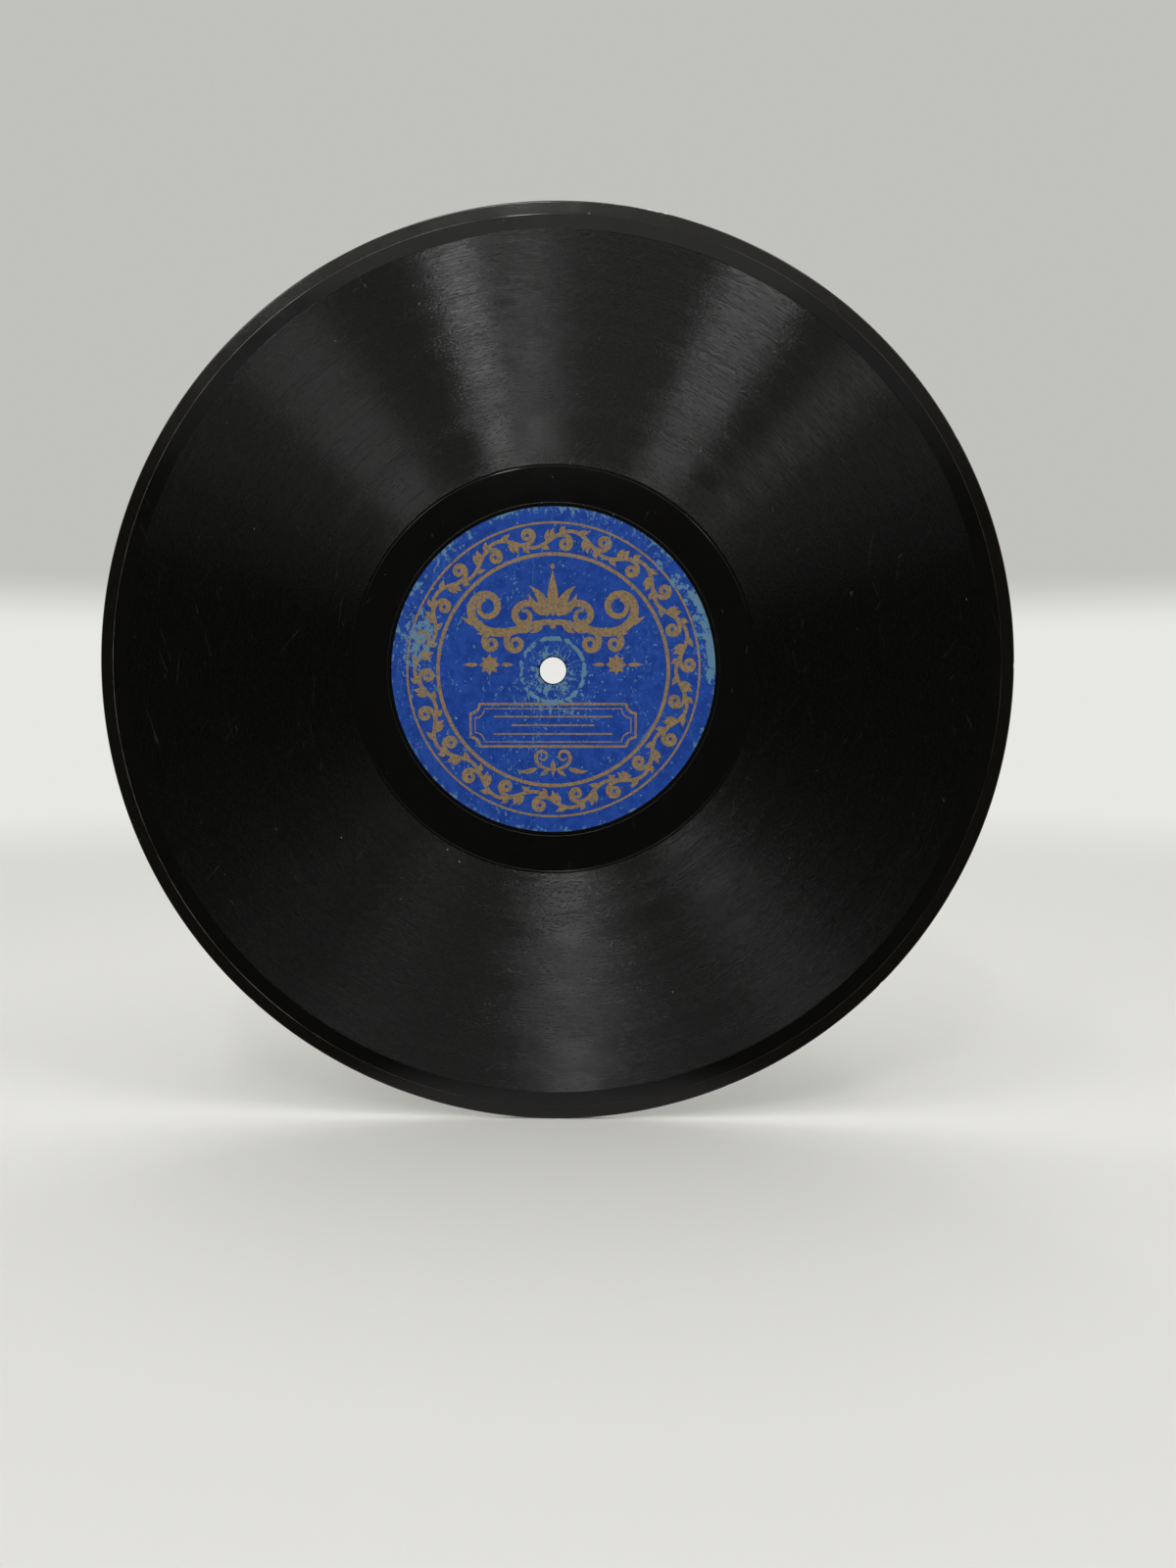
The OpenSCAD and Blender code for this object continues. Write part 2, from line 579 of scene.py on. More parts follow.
def calc(tree, operation, a, b=0.0, c=0.0, clamp=False):
    node = add(tree, "Math", operation=operation, use_clamp=clamp)
    for socket, value in zip(node.inputs, (a, b, c)):
        feed(tree, socket, value)
    return node.outputs[0]


def chain(tree, operation, *values):
    """One operation carried along a row of values."""
    return functools.reduce(lambda a, b: calc(tree, operation, a, b), values)


def apart(tree, a, b):
    """How far apart two values are, whichever is larger."""
    return calc(tree, "ABSOLUTE", calc(tree, "SUBTRACT", a, b))


print("helpers for sums are ready")

# %% Places on the record
ACROSS = (1, 0, 1)


def vector_calc(tree, operation, a, b=(0, 0, 0)):
    node = add(tree, "VectorMath", operation=operation)
    feed(tree, node.inputs[0], a)
    feed(tree, node.inputs[1], b)
    return node.outputs["Value"] if operation == "LENGTH" else node.outputs["Vector"]


def scaled(tree, vector, factor):
    node = add(tree, "VectorMath", operation="SCALE")
    feed(tree, node.inputs[0], vector)
    node.inputs["Scale"].default_value = factor
    return node.outputs["Vector"]


def split(tree, vector):
    node = add(tree, "SeparateXYZ")
    feed(tree, node.inputs["Vector"], vector)
    return node.outputs


def place_in_mm(tree):
    """Object coordinates in millimetres, and the distance from the axis."""
    spot = scaled(tree, add(tree, "TexCoord").outputs["Object"], 1 / MM)
    return spot, vector_calc(tree, "LENGTH", vector_calc(tree, "MULTIPLY", spot, ACROSS))


def way_from_axis(tree, spot):
    """The direction from the axis, which changes round the record without a seam."""
    return vector_calc(tree, "NORMALIZE", vector_calc(tree, "MULTIPLY", spot, ACROSS))


print("places are read in millimetres from the spindle")

# %% Ramps, colours and noise
RAMP_ENDS = ("From Min", "From Max", "To Min", "To Max")
MIX_A, MIX_B, MIX_RESULT = 6, 7, 2


def ramp(tree, value, low, high, out_low=0.0, out_high=1.0):
    """Smoothly from out_low to out_high while value goes from low to high."""
    node = add(tree, "MapRange", interpolation_type="SMOOTHSTEP")
    feed(tree, node.inputs["Value"], value)
    for name, end in zip(RAMP_ENDS, (low, high, out_low, out_high)):
        node.inputs[name].default_value = end
    return node.outputs["Result"]


def blend_colour(tree, share, a, b):
    node = add(tree, "Mix", data_type="RGBA")
    feed(tree, node.inputs["Factor"], share)
    feed(tree, node.inputs[MIX_A], a)
    feed(tree, node.inputs[MIX_B], b)
    return node.outputs[MIX_RESULT]


def noise(tree, vector, scale, detail=2.0, rough=0.5):
    node = add(tree, "TexNoise")
    feed(tree, node.inputs["Vector"], vector)
    node.inputs["Scale"].default_value = scale
    node.inputs["Detail"].default_value = detail
    node.inputs["Roughness"].default_value = rough
    return node.outputs["Fac"]


print("helpers for ramps, colours and noise are ready")

# %% [markdown]
# ## Dust and hairlines
#
# A century of sleeves leaves specks of dust on the shellac, and fine scratches on shellac and
# labels alike, so they are one node group with an amount for each. A speck is a small circle round
# a Voronoi point, kept only in the few cells whose random colour is low. A hairline is the narrow
# level line of a noise that is stretched in one direction.

# %% Node groups


def new_group(name, inputs, outputs):
    tree = bpy.data.node_groups.new(name, "ShaderNodeTree")
    for label, default in inputs.items():
        socket = tree.interface.new_socket(label, in_out="INPUT", socket_type="NodeSocketFloat")
        socket.default_value = default
    for label in outputs:
        tree.interface.new_socket(label, in_out="OUTPUT", socket_type="NodeSocketFloat")
    print("group:", name)
    return tree, tree.nodes.new("NodeGroupInput"), tree.nodes.new("NodeGroupOutput")


def use_group(tree, group, **values):
    node = add(tree, "Group", node_tree=group)
    for key, value in values.items():
        node.inputs[key].default_value = value
    return node.outputs


# %% Group: dust specks
SPECK_CELLS = 0.3
SPECK_SPREAD, SPECK_LEAST, SPECK_FADE = 0.030, 0.024, 2.5
group_inputs = {"Specks": 0.06, "Lines": 1.0}
dust_group, inlet, outlet = new_group("dust_and_hairlines", group_inputs, ("Dust", "Hairline"))
spot, _ = place_in_mm(dust_group)
cells = add(dust_group, "TexVoronoi")
feed(dust_group, cells.inputs["Vector"], spot)
cells.inputs["Scale"].default_value = SPECK_CELLS
pick = add(dust_group, "SeparateColor")
feed(dust_group, pick.inputs["Color"], cells.outputs["Color"])
kept = calc(dust_group, "LESS_THAN", pick.outputs["Red"], inlet.outputs["Specks"])
size = calc(dust_group, "MULTIPLY_ADD", pick.outputs["Green"], SPECK_SPREAD, SPECK_LEAST)
near = calc(dust_group, "LESS_THAN", cells.outputs["Distance"], size)
pale = calc(dust_group, "POWER", pick.outputs["Blue"], SPECK_FADE)
feed(dust_group, outlet.inputs["Dust"], chain(dust_group, "MULTIPLY", kept, near, pale))
print(f"the cells that may hold a speck are {1 / SPECK_CELLS:.1f} mm wide")

# %% Group: hairlines
HAIRLINES = ((82, 3.0), (52, 17.0), (108, 31.0))
HAIR_STRETCH = (0.03, 0.03, 0.5)
HAIR_W = 0.012


def hairline(angle, seed):
    turned_spot = add(dust_group, "VectorRotate", rotation_type="Y_AXIS")
    feed(dust_group, turned_spot.inputs["Vector"], spot)
    turned_spot.inputs["Angle"].default_value = math.radians(angle)
    mapping = add(dust_group, "Mapping")
    feed(dust_group, mapping.inputs["Vector"], turned_spot.outputs["Vector"])
    mapping.inputs["Location"].default_value = (seed, seed, 0)
    mapping.inputs["Scale"].default_value = HAIR_STRETCH
    stretched = mapping.outputs["Vector"]
    level = noise(dust_group, stretched, 1.0, 0.0)
    line = ramp(dust_group, apart(dust_group, level, 0.5), 0.0, HAIR_W, 1, 0)
    patch = ramp(dust_group, noise(dust_group, stretched, 1.7, 2.0), 0.66, 0.70)
    return calc(dust_group, "MULTIPLY", line, patch)


lines = chain(dust_group, "MAXIMUM", *[hairline(*each) for each in HAIRLINES])
lines = calc(dust_group, "MULTIPLY", lines, inlet.outputs["Lines"])
feed(dust_group, outlet.inputs["Hairline"], lines)
print(len(HAIRLINES), "sets of hairlines")

# %% [markdown]
# ## Smooth shellac
#
# Pressed shellac is nearly black, with a gloss like hard wax. The margin and the run-out are
# mirror-smooth apart from a faint haze of handling. The rim band comes from the clamp ring of the
# press and is dull and faintly brown, with a fine grain. The ground edge is greyer still, because
# nothing polished it. The shoulder of the rim step carries a painted highlight, a pale patchy line
# that is strongest on the left side.
# Each zone could have a material of its own, but on one pressing they melt into each other, so one
# material mixes them by the distance from the axis.

# %% New finishes


def new_material(name):
    material = bpy.data.materials.new(name)
    material.use_nodes = True
    print("finish:", name)
    return material, material.node_tree, material.node_tree.nodes["Principled BSDF"]


def emboss(tree, bsdf, relief, strength, deep):
    """Bump on a finish, its full depth given in millimetres."""
    bump = add(tree, "Bump")
    bump.inputs["Strength"].default_value = strength
    bump.inputs["Distance"].default_value = deep * MM
    feed(tree, bump.inputs["Height"], relief)
    feed(tree, bsdf.inputs["Normal"], bump.outputs["Normal"])


# %% Finish: smooth shellac, colour
BLACK = (0.0035, 0.0033, 0.0031, 1)
RIM_BROWN = (0.0058, 0.0048, 0.0037, 1)
EDGE_GREY = (0.014, 0.013, 0.012, 1)
DUST = (0.55, 0.52, 0.46, 1)
SCRATCH = (0.060, 0.058, 0.055, 1)
# Pale colour of the painted highlight on the shoulder of the rim step.
STEP_HIGHLIGHT_PALE = (0.21, 0.205, 0.195, 1)
smooth_shellac, tree, bsdf = new_material("smooth_shellac")
spot, r = place_in_mm(tree)
way = way_from_axis(tree, spot)
grit = use_group(tree, dust_group, Specks=0.16, Lines=0.25)
rim_band = ramp(tree, r, RIM_R, RIM_R + 0.15)
ground = ramp(tree, r, DISC_R - 0.6, DISC_R - 0.1)
# Painted highlight: a pale patchy line on the shoulder of the rim step, strongest on the left side.
shoulder = ramp(tree, apart(tree, r, RIM_R - RIM_SLOPE / 2), 0.05, 0.14, 1.0, 0.0)
patchy = ramp(tree, noise(tree, way, 5.0, 6.0, 0.7), 0.36, 0.62, 0.15, 1.0)
lit_side = ramp(tree, split(tree, way)["X"], -0.05, -0.45, 0.2, 1.0)
painted_step_highlight = chain(tree, "MULTIPLY", shoulder, patchy, lit_side)
colour = blend_colour(tree, rim_band, BLACK, RIM_BROWN)
colour = blend_colour(tree, ground, colour, EDGE_GREY)
colour = blend_colour(tree, painted_step_highlight, colour, STEP_HIGHLIGHT_PALE)
colour = blend_colour(tree, grit["Hairline"], colour, SCRATCH)
feed(tree, bsdf.inputs["Base Color"], blend_colour(tree, grit["Dust"], colour, DUST))
print(len(tree.nodes), "nodes for the colour")

# %% Finish: smooth shellac, gloss and grain
SHELLAC_IOR = 1.5
HAZE = (0.07, 0.14)
RIM_DULL, LINE_DULL, STEP_HIGHLIGHT_DULL, DUST_DULL = 0.05, 0.35, 0.3, 0.5
GRAIN_STRENGTH, GRAIN_DEEP = 0.5, 0.03
haze = ramp(tree, noise(tree, spot, 0.09, 4.0, 0.6), 0.35, 0.7, *HAZE)
die_line = ramp(tree, apart(tree, r, DIE_LINE_R), 0.08, 0.16, LINE_DULL, 0.0)
dulled = calc(tree, "MULTIPLY", rim_band, RIM_DULL)
# The painted step highlight is also made rougher.
rough_step_highlight = calc(tree, "MULTIPLY", painted_step_highlight, STEP_HIGHLIGHT_DULL)
dusty = calc(tree, "MULTIPLY", grit["Dust"], DUST_DULL)
gloss = chain(tree, "ADD", haze, dulled, die_line, rough_step_highlight)
feed(tree, bsdf.inputs["Roughness"], calc(tree, "ADD", gloss, dusty, clamp=True))
grain = noise(tree, spot, 2.4, 3.0, 0.6)
emboss(tree, bsdf, calc(tree, "MULTIPLY", grain, rim_band), GRAIN_STRENGTH, GRAIN_DEEP)
bsdf.inputs["IOR"].default_value = SHELLAC_IOR
print(len(tree.nodes), "nodes in all")

# %% [markdown]
# ## Grooved shellac
#
# The walls of the groove scatter light across the groove far more than along it. That is
# anisotropic gloss: a radial tangent and a high Anisotropic value stretch each highlight towards
# the spindle. The recorded sound is a fine wiggle of the walls. It shows as a sparkle in the wedges
# of light, stronger in loud passages than in quiet ones, and as thin arcs. All of it comes from
# noises on the distance from the axis and the direction from it, which have no seam.

# %% Finish: grooved shellac, the recorded sound
grooved_shellac, tree, bsdf = new_material("grooved_shellac")
spot, r = place_in_mm(tree)
way = way_from_axis(tree, spot)


def along_the_groove(turns, per_mm, detail):
    """Noise that runs with the groove: so many lumps round the axis, so many per mm across."""
    across = add(tree, "CombineXYZ")
    feed(tree, across.inputs["Y"], calc(tree, "MULTIPLY", r, per_mm))
    where = vector_calc(tree, "ADD", scaled(tree, way, turns), across.outputs["Vector"])
    return noise(tree, where, 1.0, detail, 0.6)


arcs = along_the_groove(3, 2.4, 2.0)
streaks = along_the_groove(40, 2.4, 1.0)
sparkle = along_the_groove(120, 2.3, 1.0)
loud = ramp(tree, along_the_groove(0.4, 0.22, 3.0), 0.38, 0.62, 0.3, 1.0)
print(len(tree.nodes), "nodes for the sound")

# %% Finish: grooved shellac, colour and gloss
WIGGLE_DEEP = 0.068
QUARTER_TURN = 0.25
grit = use_group(tree, dust_group, Specks=0.16, Lines=0.45)
colour = blend_colour(tree, grit["Hairline"], BLACK, SCRATCH)
feed(tree, bsdf.inputs["Base Color"], blend_colour(tree, grit["Dust"], colour, DUST))
gloss = ramp(tree, arcs, 0.35, 0.65, 0.17, 0.22)
bold_arcs = ramp(tree, arcs, 0.67, 0.71, 0.0, 0.08)
gloss = chain(tree, "ADD", gloss, bold_arcs, ramp(tree, streaks, 0.3, 0.7, 0.0, 0.10))
feed(tree, bsdf.inputs["Roughness"], gloss)
emboss(tree, bsdf, calc(tree, "MULTIPLY", sparkle, loud), 1.0, WIGGLE_DEEP)
bsdf.inputs["IOR"].default_value = SHELLAC_IOR
bsdf.inputs["Anisotropic"].default_value = 1.0
bsdf.inputs["Anisotropic Rotation"].default_value = QUARTER_TURN
tangent = add(tree, "Tangent", direction_type="RADIAL", axis="Y")
feed(tree, bsdf.inputs["Tangent"], tangent.outputs["Tangent"])
print(len(tree.nodes), "nodes in all")

# %% [markdown]
# ## Worn paper
#
# The print has rubbed off where hands and spindles touch it: in chips along the label's edge, most
# at the right and over the border at the left, in a ring on the shoulder of the pad, and round the
# hole, where the paper has cracked. Small flecks are missing all over. Wear could be painted by
# hand, but a noise stays sharp at any distance. Paper and ink lie in the same wear, so it is one
# node group. It compares a fine noise with a density that follows those places.

# %% Group: where the paper is worn
group_inputs = {"Amount": 1.0, "Shift": 0.0}
wear_group, inlet, outlet = new_group("paper_wear", group_inputs, ("Scuff", "Fibre"))
times = functools.partial(chain, wear_group, "MULTIPLY")
most = functools.partial(chain, wear_group, "MAXIMUM")
fade = functools.partial(ramp, wear_group)
spot, r = place_in_mm(wear_group)
way = way_from_axis(wear_group, spot)
across, _, upward = split(wear_group, way)
EDGE = LABEL_R


def reach(start, full, peak, *shares):
    """Density that grows from one radius to another, times the shares of direction it keeps to."""
    return times(fade(r, start, full, 0.0, peak), *shares)


off_left = apart(wear_group, upward, 0.2)
left_border = [fade(across, -0.75, -0.93), fade(off_left, 0.38, 0.08)]
left_border += [fade(r, EDGE - 4, EDGE - 1, 1.0, 0.45)]
worn = most(
    reach(EDGE - 2.0, EDGE, 0.60),
    reach(EDGE - 3.4, EDGE - 1.6, 1.10, fade(across, 0.70, 0.93), fade(upward, -0.2, 0.0)),
    reach(EDGE - 8.0, EDGE - 2.5, 0.72, fade(across, 0.45, 0.85), fade(upward, -0.3, 0.1)),
    reach(EDGE - 5.0, EDGE, 0.62, fade(upward, 0.15, 0.6)),
    reach(EDGE - 17, EDGE - 8, 0.85, *left_border),
    reach(EDGE - 9.0, EDGE - 2, 0.48, fade(across, -0.35, -0.7), fade(upward, -0.1, 0.3)),
)
off_shoulder = apart(wear_group, r, PAD_R + PAD_SLOPE + 0.25)
centre = most(
    times(fade(off_shoulder, 0.2, 1.1, 1.15, 0.0), fade(across, -0.6, 0.2, 0.8, 1.0)),
    times(fade(r, 4.2, 8.0, 0.80, 0.1), fade(upward, 0.9, -0.3, 0.8, 1.0)),
    times(fade(r, 9.0, 16.0, 0.48, 0.0), fade(upward, -0.3, -0.9)),
)
print(len(wear_group.nodes), "nodes for the places")

# %% [markdown]
# A chip is bare where the noise passes a limit, and the limit sinks as the density grows. Coarse
# chips, the bold patches round the hole and the small flecks each have a noise of their own. The
# cracks are level lines of a noise on the direction from the hole.

# %% Group: chips, flecks and cracks
CHIP_LIMIT, CHIP_SINK = 0.70, -0.26
moved = add(wear_group, "CombineXYZ")
feed(wear_group, moved.inputs["Y"], inlet.outputs["Shift"])
place = vector_calc(wear_group, "ADD", spot, moved.outputs["Vector"])


def bitten(density, scale, rough):
    """1 where a fine noise passes a limit that sinks as the density grows."""
    density = times(density, inlet.outputs["Amount"])
    limit = calc(wear_group, "MULTIPLY_ADD", density, CHIP_SINK, CHIP_LIMIT)
    upright = vector_calc(wear_group, "MULTIPLY", place, (1, 1, 0.8))
    level = noise(wear_group, upright, scale, 7.0, rough)
    return fade(calc(wear_group, "SUBTRACT", level, limit), -0.01, 0.02)


below = times(fade(r, 10, 24, 0.46, 0.0), fade(upward, 0.6, -0.5))
flecks = most(fade(noise(wear_group, place, 0.07, 2.0), 0.36, 0.62, 0.04, 0.34), below)
chips = most(bitten(worn, 0.6, 0.70), bitten(centre, 0.8, 0.52), bitten(flecks, 1.3, 0.62))
drift = vector_calc(wear_group, "MULTIPLY", place, (0.2, 0.2, 0.2))
spokes = vector_calc(wear_group, "ADD", scaled(wear_group, way, 3.5), drift)
crack = fade(apart(wear_group, noise(wear_group, spokes, 1.0, 1.0), 0.5), 0.008, 0.03, 1.0, 0.0)
crack = times(crack, fade(r, 5.5, 8.6, 1.0, 0.0))
feed(wear_group, outlet.inputs["Scuff"], most(chips, crack))
feed(wear_group, outlet.inputs["Fibre"], noise(wear_group, spot, 4.5, 4.0, 0.65))
print(len(wear_group.nodes), "nodes in all")

# %% [markdown]
# ## Paper and ink
#
# The blue is printed solid over a paler paper, and the gold lies thin and mottled on the blue. Both
# show the same bare paper where they are worn, and both have the fibre of the paper in their gloss
# and relief, so one function makes them.

# %% Finishes: label paper and gold ink
BLUE = (0.0056, 0.038, 0.250, 1)
BLUE_PALE = (0.0118, 0.059, 0.320, 1)
BARE_PAPER = (0.105, 0.210, 0.315, 1)
GOLD = (0.295, 0.192, 0.076, 1)
GOLD_THIN = (0.130, 0.105, 0.090, 1)
PAPER_LOOK = ((BLUE, BLUE_PALE), 0.35, 0.46)
INK_LOOK = ((GOLD_THIN, GOLD), 1.6, 0.38)
FRONT_WEAR = {"Shift": 0.0, "Amount": 1.0}
BACK_WEAR = {"Shift": 40.0, "Amount": 0.9}
PAPER_IOR, PAPER_SHINE = 1.45, 0.15
FIBRE_DULL, FIBRE_STRENGTH, FIBRE_DEEP = 0.25, 0.35, 0.02


def label_finish(name, wear_values, colours, patch_scale, least_rough):
    material, tree, bsdf = new_material(name)
    wear = use_group(tree, wear_group, **wear_values)
    spot, _ = place_in_mm(tree)
    patches = ramp(tree, noise(tree, spot, patch_scale, 5.0, 0.7), 0.36, 0.6)
    colour = blend_colour(tree, patches, *colours)
    scrapes = use_group(tree, dust_group, Specks=0.0, Lines=0.8)["Hairline"]
    bare = calc(tree, "MAXIMUM", wear["Scuff"], scrapes)
    feed(tree, bsdf.inputs["Base Color"], blend_colour(tree, bare, colour, BARE_PAPER))
    rough = calc(tree, "MULTIPLY_ADD", wear["Fibre"], FIBRE_DULL, least_rough)
    feed(tree, bsdf.inputs["Roughness"], rough)
    relief = calc(tree, "SUBTRACT", wear["Fibre"], wear["Scuff"])
    emboss(tree, bsdf, relief, FIBRE_STRENGTH, FIBRE_DEEP)
    bsdf.inputs["IOR"].default_value = PAPER_IOR
    bsdf.inputs["Specular IOR Level"].default_value = PAPER_SHINE
    return material


finishes = {
    disc_body: smooth_shellac,
    front_grooves: grooved_shellac,
    back_grooves: grooved_shellac,
    front_paper: label_finish("front_paper_blue", FRONT_WEAR, *PAPER_LOOK),
    front_print: label_finish("front_print_gold", FRONT_WEAR, *INK_LOOK),
    back_paper: label_finish("back_paper_blue", BACK_WEAR, *PAPER_LOOK),
    back_print: label_finish("back_print_gold", BACK_WEAR, *INK_LOOK),
}
for piece, material in finishes.items():
    piece.data.materials.append(material)

# %% [markdown]
# ## A map for the bake
#
# The finishes are made of nodes, and they are baked to pictures when the model leaves Blender. An
# automatic unwrap would cut the grooves into thousands of slivers. A flat map seen along the axis
# wastes little on such pieces. On the disc, front faces go into the lower left square and back
# faces into the upper right. The other pieces show one side only, so the faces that lie on another
# piece shrink into a corner.

# %% Bake maps
MAP_EDGE = 0.005
ONE_SIDE, TWO_SIDES, HIDDEN_SIDE = 0.99, 0.49, 0.004
FACES_AWAY = -0.01


def read_all(items, name, kind, width=1):
    values = np.empty(len(items) * width, kind)
    items.foreach_get(name, values)
    return values.reshape(-1, width) if width > 1 else values


def flat_map(piece, reach, both):
    mesh = piece.data
    corners = read_all(mesh.loops, "vertex_index", int)
    places = read_all(mesh.vertices, "co", float, 3)
    normals = read_all(mesh.polygons, "normal", float, 3)
    sides = read_all(mesh.polygons, "loop_total", int)
    uv = 0.5 + places[corners][:, (0, 2)] / MM / reach / 2
    outward = 1 if piece.name.startswith("back") else -1
    away = np.repeat(normals[:, 1] * outward < FACES_AWAY, sides)
    shift = np.where(away & both, MAP_EDGE + 0.5, MAP_EDGE)
    size = np.where(away & (not both), HIDDEN_SIDE, TWO_SIDES if both else ONE_SIDE)
    layer = mesh.uv_layers.new(name="OFBake")
    layer.data.foreach_set("uv", (shift[:, None] + uv * size[:, None]).ravel())


for piece in finishes:
    on_label = "label" in piece.name
    flat_map(piece, LABEL_R if on_label else DISC_R, piece is disc_body)
print(len(finishes), "flat maps")

# %% [markdown]
# ## On the frame
#
# Nothing on a record moves, so every piece rides on the one body. Each stands in for the solid that
# it was drawn over, which stays in the model for collisions.

# %% Ride on the frame
for piece, node, slot in (
    (disc_body, "disc", "shellac"),
    (front_grooves, "disc", "shellac"),
    (back_grooves, "disc", "shellac"),
    (front_paper, "front_label", "label_paper"),
    (front_print, "front_label", "label_paper"),
    (back_paper, "back_label", "label_paper"),
    (back_print, "back_label", "label_paper"),
):
    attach(piece, "root")
    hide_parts(node)
    print(piece.name, "stands for", node)

# %% [markdown]
# ## The studio
#
# The record stands on a pale floor that runs into a pale backdrop. A black record has to mirror
# something dark to look black, so dark velvet lies under it and stands behind the camera, with the
# dim room over its top edge. The velvet is a painted dark reflection, a flag that only glossy rays
# meet, so it takes no light from the set and hides the pale floor from the record's gloss.

# %% Floor
scene = bpy.context.scene
scene.view_settings.view_transform = "Standard"
FLOOR_R, FLOOR_SIDES = 8, 128
bm = bmesh.new()
bmesh.ops.create_circle(bm, cap_ends=True, segments=FLOOR_SIDES, radius=FLOOR_R)
bmesh.ops.translate(bm, vec=(0, 0, disc_low.z), verts=bm.verts)
floor = finished(bm, "floor")

# %% Velvet
VELVET_R, VELVET_TOP, ROOM_TOP = 0.6, 0.20, 0.30
VELVET_ARC = math.radians(190)
VELVET_SIDES, ARC_STEPS, VELVET_LIFT = 96, 48, 0.5
bm = bmesh.new()
velvet_floor = disc_low.z + VELVET_LIFT * MM
bmesh.ops.create_circle(bm, cap_ends=True, segments=VELVET_SIDES, radius=VELVET_R)
bmesh.ops.translate(bm, vec=(0, 0, velvet_floor), verts=bm.verts)
start = Matrix.Rotation(-math.pi / 2 - VELVET_ARC / 2, 3, "Z") @ Vector((VELVET_R, 0, 0))
hem = bm.verts.new((start.x, start.y, velvet_floor))
head = bm.verts.new((start.x, start.y, ROOM_TOP))
upright = bm.edges.new((hem, head))
bmesh.ops.spin(
    bm,
    geom=[hem, head, upright],
    cent=(0, 0, 0),
    axis=(0, 0, 1),
    angle=VELVET_ARC,
    steps=ARC_STEPS,
    use_merge=False,
)
velvet = finished(bm, "velvet")
# Only glossy rays see the velvet: it is a painted dark reflection.
for rays in ("camera", "diffuse", "transmission", "shadow"):
    setattr(velvet, "visible_" + rays, False)

# %% [markdown]
# The floor is real near the record, where it takes the shadow, and fades into the colour of the
# horizon further off. The world is that colour low down and greyer above, as a paper sweep is.

# %% Finish: floor
HORIZON = (0.80, 0.805, 0.775, 1)
FLOOR_WHITE = (0.80, 0.79, 0.765, 1)
FADE_START, FADE_END = 300, 1200
SEEN_BY = ("Is Camera Ray", "Is Glossy Ray", "Is Transmission Ray")


def matte(bsdf, colour):
    bsdf.inputs["Base Color"].default_value = colour
    bsdf.inputs["Roughness"].default_value = 1.0
    bsdf.inputs["Specular IOR Level"].default_value = 0.0


floor_white, tree, bsdf = new_material("floor_white")
matte(bsdf, FLOOR_WHITE)
glow = add(tree, "Emission")
glow.inputs["Color"].default_value = HORIZON
path = add(tree, "LightPath").outputs
seen = chain(tree, "MAXIMUM", *[path[ray] for ray in SEEN_BY])
far = ramp(tree, vector_calc(tree, "LENGTH", place_in_mm(tree)[0]), FADE_START, FADE_END)
mix = add(tree, "MixShader")
feed(tree, mix.inputs[0], calc(tree, "MULTIPLY", far, seen))
feed(tree, mix.inputs[1], bsdf.outputs["BSDF"])
feed(tree, mix.inputs[2], glow.outputs["Emission"])
feed(tree, tree.nodes["Material Output"].inputs["Surface"], mix.outputs["Shader"])
floor.data.materials.append(floor_white)

# %% World
BACKDROP = (0.53, 0.535, 0.51, 1)
SWEEP = (0.06, 0.11)
world = bpy.data.worlds.new("studio")
scene.world = world
world.use_nodes = True
tree = world.node_tree
direction = split(tree, add(tree, "TexCoord").outputs["Generated"])
sky = blend_colour(tree, ramp(tree, direction["Z"], *SWEEP), HORIZON, BACKDROP)
feed(tree, tree.nodes["Background"].inputs["Color"], sky)
print("world:", world.name)

# %% [markdown]
# The velvet glows a little in two places, as painted reflections: in a band near its top it stands
# for the dim room behind the camera, and in a strip at the record's foot it stands for the pale
# floor right in front of it, which the lowest margin mirrors.

# %% Finish: velvet
VELVET_BLACK = (0.01, 0.01, 0.01, 1)
ROOM_REFLECTION_GLOW, FOOT_REFLECTION_GLOW = 0.25, 0.36
ROOM_FROM, ROOM_FULL = (VELVET_TOP - 0.06) / MM, (VELVET_TOP + 0.04) / MM
FOOT_NEAR, FOOT_FAR = 14, 55
velvet_painted_reflection, tree, bsdf = new_material("velvet_painted_reflection")
matte(bsdf, VELVET_BLACK)
_, depth, rise = split(tree, place_in_mm(tree)[0])
floor_z = disc_low.z / MM
# Painted reflection of the room: the velvet's top band glows.
painted_room_reflection = ramp(tree, rise, ROOM_FROM, ROOM_FULL, 0, ROOM_REFLECTION_GLOW)
# Painted reflection of the floor: a glowing strip on the velvet at the record's foot.
painted_floor_reflection = ramp(tree, calc(tree, "ABSOLUTE", depth), FOOT_NEAR, FOOT_FAR, FOOT_REFLECTION_GLOW, 0)
lying = ramp(tree, rise, floor_z + 2, floor_z + 4, 1, 0)
painted_floor_reflection = calc(tree, "MULTIPLY", painted_floor_reflection, lying)
bsdf.inputs["Emission Color"].default_value = (1, 1, 1, 1)
feed(tree, bsdf.inputs["Emission Strength"], calc(tree, "ADD", painted_room_reflection, painted_floor_reflection))
velvet.data.materials.append(velvet_painted_reflection)

# %% [markdown]
# ## Lamps
#
# One big soft box in front would grey the whole record evenly. A wedge of light needs a narrow lamp.
# It always points at the spindle, it lies at the lamp's own azimuth, and it is as wide as the lamp.
# The further the lamp stands from the axis, the more its wedge is above the spindle and the less
# below it. So each strip here makes one wedge: the high ones the four above, and the two low ones
# those below. The same strips, dimmer, stand behind the record for its other face. A large soft box
# overhead lights the floor.

# %% Lamps
LAMP_FAR = 0.9
OVERHEAD, OVERHEAD_UP, OVERHEAD_SIZE = 2.5, 1.1, (0.9, 0.9)
BACK_SHARE = 0.4
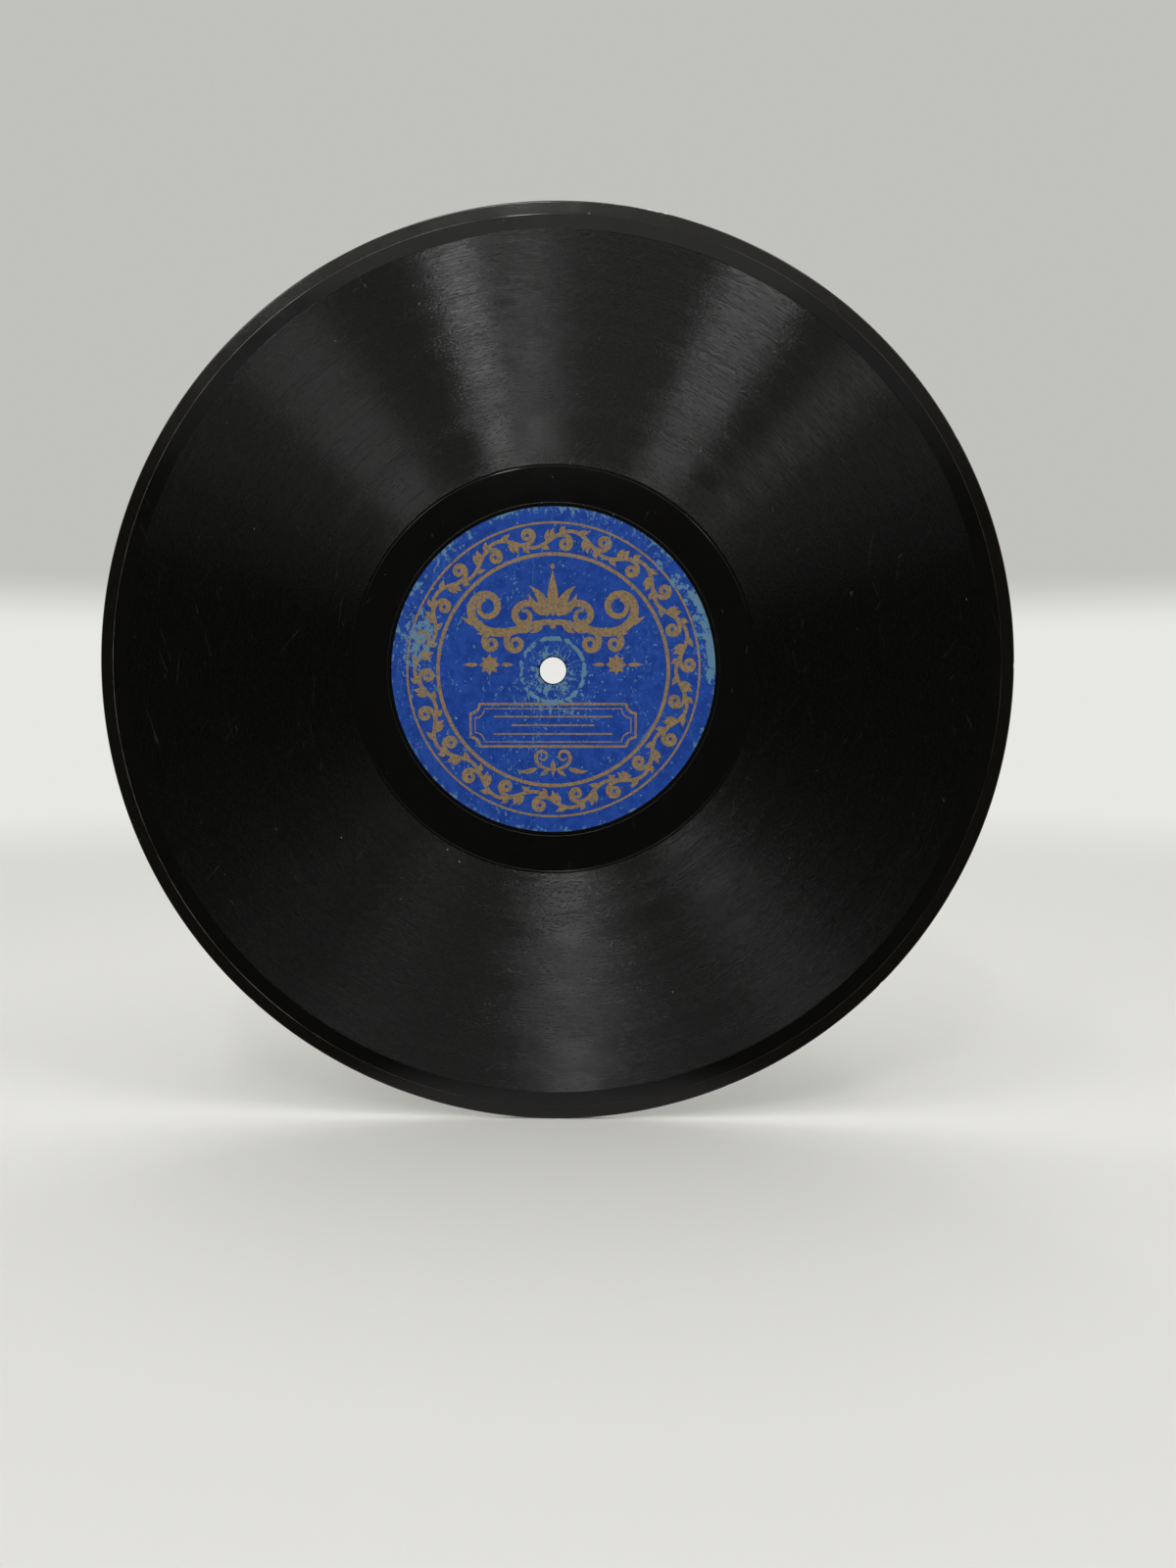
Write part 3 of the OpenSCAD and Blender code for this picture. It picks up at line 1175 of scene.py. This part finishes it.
# azimuth and polar angle in degrees, width and height in metres, power in watts
STRIPS = {
    "left_strip": (106.0, 66, 0.085, 0.30, 0.65),
    "right_strip": (64.5, 69, 0.155, 0.30, 0.82),
    "far_left_strip": (131, 60, 0.17, 0.30, 0.18),
    "far_right_strip": (47, 62, 0.10, 0.30, 0.15),
    "low_strip": (98, 40, 0.025, 0.16, 0.84),
    "low_left_strip": (131, 40, 0.12, 0.16, 0.37),
}


def lamp(name, stand, size, power):
    data = bpy.data.lights.new(name, "AREA")
    data.shape = "RECTANGLE"
    data.size, data.size_y = size
    data.energy = power
    obj = bpy.data.objects.new(name, data)
    obj.matrix_world = stand
    obj.visible_camera = False
    bpy.context.collection.objects.link(obj)


def on_dome(azimuth, polar):
    """A stand that faces the spindle, its width along the azimuth. The azimuth runs
    counter-clockwise from three o'clock, and the polar angle from the front of the axis."""
    a, p = math.radians(azimuth), math.radians(polar)
    out = Vector((math.sin(p) * math.cos(a), -math.cos(p), math.sin(p) * math.sin(a)))
    along = Vector((-math.sin(a), 0, math.cos(a)))
    facing = Matrix((along, out.cross(along), out)).transposed().to_4x4()
    return Matrix.Translation(out * LAMP_FAR) @ facing


for name, (azimuth, polar, wide, tall, power) in STRIPS.items():
    stand = on_dome(azimuth, polar)
    lamp(name, stand, (wide, tall), power)
    lamp("back_" + name, half_turn @ stand, (wide, tall), power * BACK_SHARE)
lamp("overhead", Matrix.Translation((0, 0, OVERHEAD_UP)), OVERHEAD_SIZE, OVERHEAD)
print(len(STRIPS), "strips on each side")

# %% [markdown]
# ## Camera
#
# The camera stands close, a little below the spindle and to its right, and looks down past the
# label, so that the floor fills the lower part of the picture. A longer lens from further off would
# show the same disc, but it would flatten the floor and the way the wedges spread.

# %% Camera
SENSOR_W, LENS = 36, 27.05
CAMERA_AT = Vector((18.36, -328.95, -11.05)) * MM
CAMERA_LOOK = Vector((-0.0262, 0.9977, -0.0624))
camera_data = bpy.data.cameras.new("camera")
camera_data.sensor_width = SENSOR_W
camera_data.lens = LENS
camera = bpy.data.objects.new("camera", camera_data)
camera.location = CAMERA_AT
camera.rotation_euler = CAMERA_LOOK.to_track_quat("-Z", "Y").to_euler()
bpy.context.collection.objects.link(camera)
scene.camera = camera
print(f"camera {CAMERA_AT.length / MM:.0f} mm from the spindle")

bpy.context.view_layer.update()
